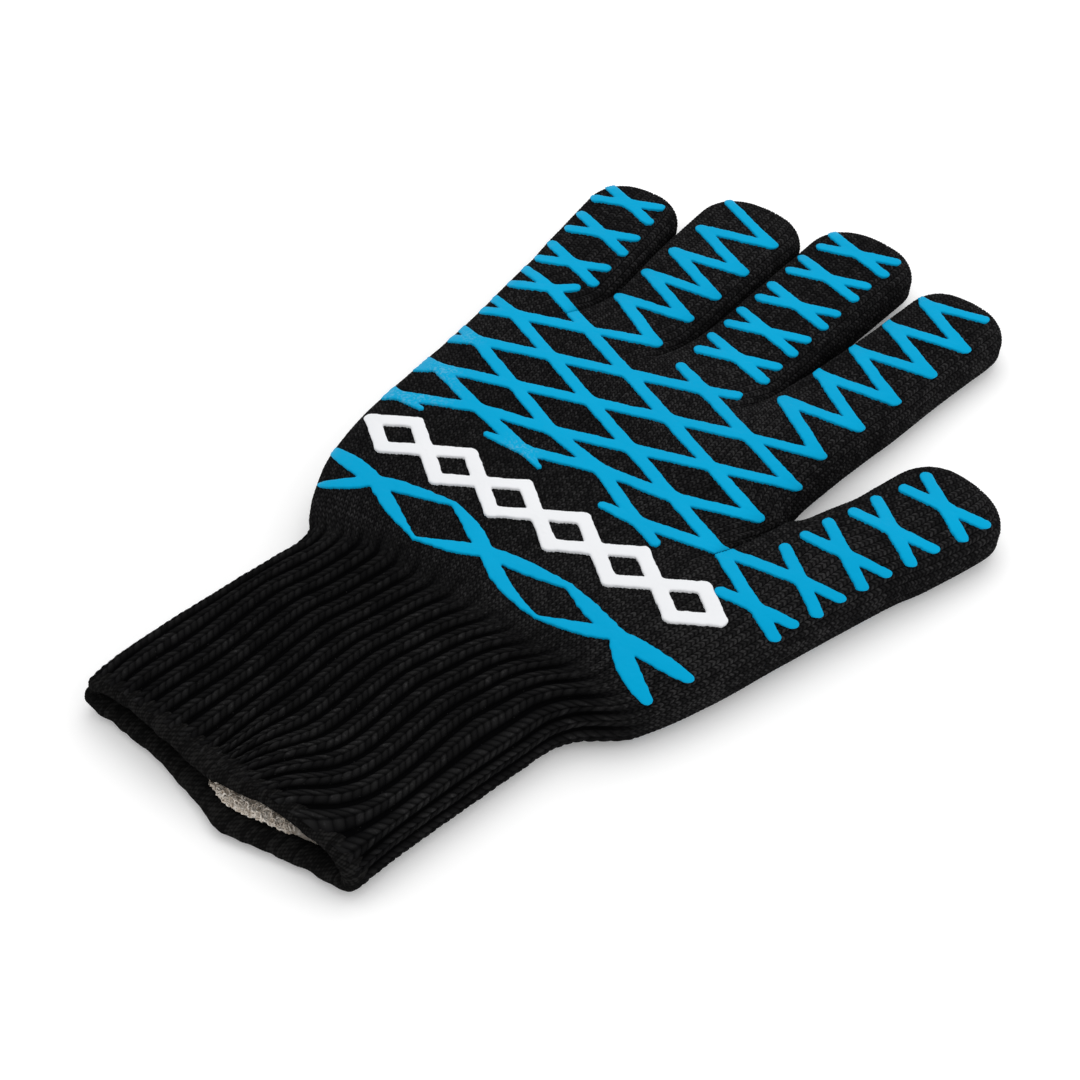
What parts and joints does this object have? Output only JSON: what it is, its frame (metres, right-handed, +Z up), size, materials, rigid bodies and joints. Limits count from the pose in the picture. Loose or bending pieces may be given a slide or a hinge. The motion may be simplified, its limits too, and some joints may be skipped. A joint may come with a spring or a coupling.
{
  "type": "heat resistant glove",
  "caption": "Knitted heat resistant glove with a terry liner, a long ribbed cuff, a bound hem and a raised silicone grip print; the stalls, thumb and wrist bend.",
  "frame": {"origin": "middle of the glove's bounding box, on the table plane under the lowest print", "axes": "+X from the little finger's side to the thumb's side, +Y from the cuff to the fingertips, +Z up out of the printed palm"},
  "size_m": [0.2022, 0.3236, 0.0238],
  "materials": {
    "knit_shell": "matt black plain knit of heat resistant yarn, with a fine fuzz",
    "rib_knit": "black rib knit",
    "hem_thread": "black overlocked thread, laid across the edge",
    "terry_liner": "cream cotton terry, looped side in",
    "silicone_blue": "raised satin silicone, cyan blue",
    "silicone_white": "raised puffed white print, satin"
  },
  "bodies": {
    "hand": {"shell_hand": "knit_shell", "liner_hand": "terry_liner", "print_palm_lattice": "silicone_blue", "print_wrist_row": "silicone_blue", "print_mark_row": "silicone_white", "under_palm_lattice": "silicone_blue", "under_wrist_row": "silicone_blue"},
    "pinky_base": {"shell_pinky_base": "knit_shell", "liner_pinky_base": "terry_liner", "print_pinky_base": "silicone_blue", "under_pinky_base": "silicone_blue"},
    "pinky_tip": {"shell_pinky_tip": "knit_shell", "liner_pinky_tip": "terry_liner", "print_pinky_tip": "silicone_blue", "under_pinky_tip": "silicone_blue"},
    "ring_base": {"shell_ring_base": "knit_shell", "liner_ring_base": "terry_liner", "print_ring_base": "silicone_blue", "under_ring_base": "silicone_blue"},
    "ring_tip": {"shell_ring_tip": "knit_shell", "liner_ring_tip": "terry_liner", "print_ring_tip": "silicone_blue", "under_ring_tip": "silicone_blue"},
    "middle_base": {"shell_middle_base": "knit_shell", "liner_middle_base": "terry_liner", "print_middle_base": "silicone_blue", "under_middle_base": "silicone_blue"},
    "middle_tip": {"shell_middle_tip": "knit_shell", "liner_middle_tip": "terry_liner", "print_middle_tip": "silicone_blue", "under_middle_tip": "silicone_blue"},
    "index_base": {"shell_index_base": "knit_shell", "liner_index_base": "terry_liner", "print_index_base": "silicone_blue", "under_index_base": "silicone_blue"},
    "index_tip": {"shell_index_tip": "knit_shell", "liner_index_tip": "terry_liner", "print_index_tip": "silicone_blue", "under_index_tip": "silicone_blue"},
    "thumb_base": {"shell_thumb_base": "knit_shell", "liner_thumb_base": "terry_liner", "print_thumb_base": "silicone_blue", "under_thumb_base": "silicone_blue"},
    "thumb_tip": {"shell_thumb_tip": "knit_shell", "liner_thumb_tip": "terry_liner", "print_thumb_tip": "silicone_blue", "under_thumb_tip": "silicone_blue"},
    "cuff": {"rib_cuff": "rib_knit", "liner_cuff": "terry_liner", "hem_binding": "hem_thread"}
  },
  "joints": [
    {"name": "pinky_knuckle", "type": "hinge", "parent": "hand", "child": "pinky_base", "pos_m": [-0.08011, 0.0903, 0.0093], "axis": [1, 0, 0], "range_deg": [0, 70]},
    {"name": "pinky_middle", "type": "hinge", "parent": "pinky_base", "child": "pinky_tip", "pos_m": [-0.08424, 0.11094, 0.0093], "axis": [1, 0, 0], "range_deg": [0, 75]},
    {"name": "ring_knuckle", "type": "hinge", "parent": "hand", "child": "ring_base", "pos_m": [-0.04618, 0.09198, 0.0093], "axis": [1, 0, 0], "range_deg": [0, 70]},
    {"name": "ring_middle", "type": "hinge", "parent": "ring_base", "child": "ring_tip", "pos_m": [-0.04805, 0.12078, 0.0093], "axis": [1, 0, 0], "range_deg": [0, 80]},
    {"name": "middle_knuckle", "type": "hinge", "parent": "hand", "child": "middle_base", "pos_m": [-0.00671, 0.08838, 0.0093], "axis": [1, 0, 0], "range_deg": [0, 70]},
    {"name": "middle_middle", "type": "hinge", "parent": "middle_base", "child": "middle_tip", "pos_m": [-0.00793, 0.12318, 0.0093], "axis": [1, 0, 0], "range_deg": [0, 80]},
    {"name": "index_knuckle", "type": "hinge", "parent": "hand", "child": "index_base", "pos_m": [0.03343, 0.08838, 0.0093], "axis": [1, 0, 0], "range_deg": [0, 70]},
    {"name": "index_middle", "type": "hinge", "parent": "index_base", "child": "index_tip", "pos_m": [0.03553, 0.11838, 0.0093], "axis": [1, 0, 0], "range_deg": [0, 80]},
    {"name": "thumb_fold", "type": "hinge", "parent": "hand", "child": "thumb_base", "pos_m": [0.06877, 0.01519, 0.0098], "axis": [0.5549, -0.8319, 0], "range_deg": [0, 45]},
    {"name": "thumb_joint", "type": "hinge", "parent": "thumb_base", "child": "thumb_tip", "pos_m": [0.08138, 0.05358, 0.0098], "axis": [0.9842, -0.1772, 0], "range_deg": [0, 60]},
    {"name": "wrist", "type": "hinge", "parent": "hand", "child": "cuff", "pos_m": [-0.00101, -0.08802, 0.00985], "axis": [-1, 0, 0], "range_deg": [0, 40]}
  ]
}
